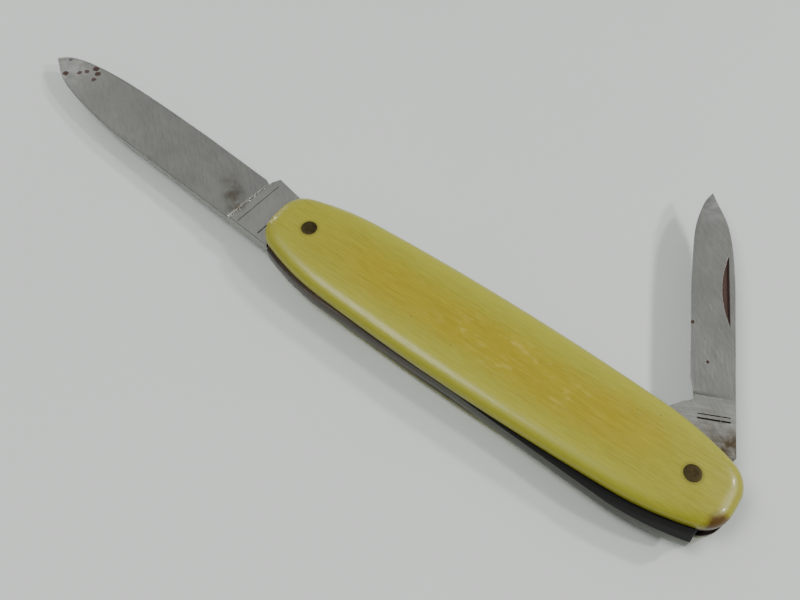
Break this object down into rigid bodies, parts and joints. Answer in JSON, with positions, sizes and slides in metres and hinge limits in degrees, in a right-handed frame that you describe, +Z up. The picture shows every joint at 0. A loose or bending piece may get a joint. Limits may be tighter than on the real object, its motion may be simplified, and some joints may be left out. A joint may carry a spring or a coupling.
{
  "type": "folding pen knife",
  "caption": "Slim folding pen knife with a long and a short blade at opposite ends of one back spring, in an oval handle with smooth ivory-look scales.",
  "frame": {"origin": "centre of the back scale's flat outer face, on which the knife lies", "axes": "+X along the handle towards the short blade's end, the long blade opens at the -X end, +Y towards the slot the blades fold into, -Y the spring's back, +Z up through the layers to the front scale"},
  "size_m": [0.131, 0.0531, 0.0074],
  "materials": {
    "celluloid": "polished, yellowed ivory look",
    "liner_brass": "tarnished",
    "spring_steel": "satin",
    "blade_steel": "satin",
    "pin_brass": "tarnished"
  },
  "bodies": {
    "handle": {"back_scale": "celluloid", "front_scale": "celluloid", "back_liner": "liner_brass", "front_liner": "liner_brass", "back_spring": "spring_steel", "main_pivot_pin": "pin_brass", "pen_pivot_pin": "pin_brass", "spring_pin": "pin_brass"},
    "main_blade": {"main_blade": "blade_steel"},
    "pen_blade": {"pen_blade": "blade_steel"}
  },
  "joints": [
    {"name": "main_blade_hinge", "type": "hinge", "parent": "handle", "child": "main_blade", "pos_m": [-0.0314, 0, 0.0037], "axis": [0, 0, 1], "range_deg": [-171.2, 0], "deforming": ["back_spring"]},
    {"name": "pen_blade_hinge", "type": "hinge", "parent": "handle", "child": "pen_blade", "pos_m": [0.0314, 0, 0.0037], "axis": [0, 0, -1], "range_deg": [-61.8, 114.7], "deforming": ["back_spring"]}
  ]
}
